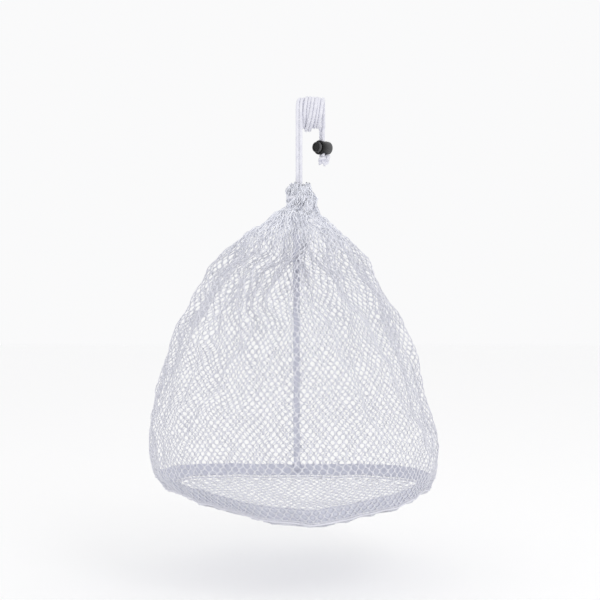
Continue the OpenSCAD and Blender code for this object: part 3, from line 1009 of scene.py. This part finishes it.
def stitch_points(starts, ends, normals):
    """Small lozenge-shaped stitches from starts to ends, standing a little off the cloth."""
    sides, rings = 6, 5
    t = np.linspace(0, 1, rings)
    width = STITCH_R * np.array([0.45, 0.9, 1.0, 0.9, 0.45])
    along = ends - starts
    heading = unit(along)
    side = np.cross(heading, normals)
    spin = np.arange(sides) * 2 * math.pi / sides
    line = starts[:, None, :] + along[:, None, :] * t[None, :, None]
    line = line + normals[:, None, :] * (STITCH_ARCH * np.sin(math.pi * t))[None, :, None]
    ring = (np.cos(spin)[None, None, :, None] * side[:, None, None, :]
            + np.sin(spin)[None, None, :, None] * normals[:, None, None, :])
    points = line[:, :, None, :] + ring * width[None, :, None, None]
    count = rings * sides
    base = (np.arange(len(starts)) * count)[:, None, None]
    i = (np.arange(rings - 1) * sides)[None, :, None]
    k = np.arange(sides)[None, None, :]
    nxt = (k + 1) % sides
    quads = np.stack([base + i + k, base + i + nxt, base + i + sides + nxt, base + i + sides + k], -1)
    near = base[:, :, 0] + np.arange(sides)[::-1]
    far = base[:, :, 0] + count - sides + np.arange(sides)
    return points.reshape(-1, 3), quads.reshape(-1, 4), np.concatenate([near, far])


def make_stitches(name, lines, node, proud=0.12, extra=None):
    """Rows of stitches. Each line gives its row above the seam, and how much of the way is thread."""
    all_points, quads, caps, offset = [], [], [], 0
    for row, length in lines:
        at = np.arange(STITCHES) / STITCHES * CELLS_ROUND
        size = CELLS_ROUND / STITCHES * length
        level = np.full(STITCHES, wall.rows[-1] - row)
        a, n = wall.at(at, level)
        b, _ = wall.at(at + size, level)
        lift = n * (NET_T / 2 + proud)
        points, q, c = stitch_points(a + lift, b + lift, n)
        all_points.append(points)
        quads.append(q + offset)
        caps.append(c + offset)
        offset += len(points)
    made = mesh_object(name, np.vstack(all_points), [np.vstack(quads), np.vstack(caps)], THREAD)
    if extra is not None:
        made = joined(name, [made, extra])
    belongs(made, "bag", "thread", node)


make_tape()
make_back_seam()
make_stitches("base_stitches", [(0.95, 0.72), (3.3, 0.72)], "base_stitching", extra=make_edge())
casing_row = wall.rows[-1] - wall.row_of(wall.top_run + CASING_H + 1)
make_stitches("casing_stitches", [(casing_row, 0.7)], "casing_stitching", proud=-0.3)


# ---------------- the cord lock
def dress_lock():
    """The lock's shapes are the CAD's own, with new materials."""
    for name, material in (("lock_barrel", BARREL), ("lock_plunger", BUTTON)):
        node = nodes[name]
        node.data.materials.clear()
        node.data.materials.append(material)


dress_lock()


# ---------------- floor, light and world
FLOOR_HALF = 6.0         # m
FLOOR_Z = -0.475
FLOOR_PAINT = (0.985, 0.985, 0.985)
WORLD_COLOUR = (0.985, 0.985, 0.99)
WORLD_STRENGTH = 0.97


def make_floor():
    corners = [(x * FLOOR_HALF, y * FLOOR_HALF, FLOOR_Z) for x, y in ((-1, -1), (1, -1), (1, 1), (-1, 1))]
    mesh = bpy.data.meshes.new("floor")
    mesh.from_pydata(corners, [], [(0, 1, 2, 3)])
    floor = bpy.data.objects.new("floor", mesh)
    bpy.context.scene.collection.objects.link(floor)
    material, _, _ = new_material("floor_paint", FLOOR_PAINT, 0.9)
    mesh.materials.append(material)


def make_light(name, place, aim, size, power, colour):
    data = bpy.data.lights.new(name, "AREA")
    data.size = size
    data.energy = power
    data.color = colour
    light = bpy.data.objects.new(name, data)
    light.location = place
    direction = np.array(aim) - np.array(place)
    down = math.atan2(math.hypot(direction[0], direction[1]), -direction[2])
    round_z = math.atan2(direction[1], direction[0]) - math.pi / 2
    light.rotation_euler = (down, 0, round_z)
    bpy.context.scene.collection.objects.link(light)


def make_world():
    scene = bpy.context.scene
    world = bpy.data.worlds.new("studio")
    world.use_nodes = True
    background = world.node_tree.nodes["Background"]
    background.inputs["Color"].default_value = (*WORLD_COLOUR, 1)
    background.inputs["Strength"].default_value = WORLD_STRENGTH
    scene.world = world
    scene.view_settings.view_transform = "Standard"


make_floor()
make_world()
make_light("key", place=(0.8, -1.2, 0.9), aim=(0, 0, -0.25), size=0.7, power=4, colour=(1.0, 0.99, 0.97))
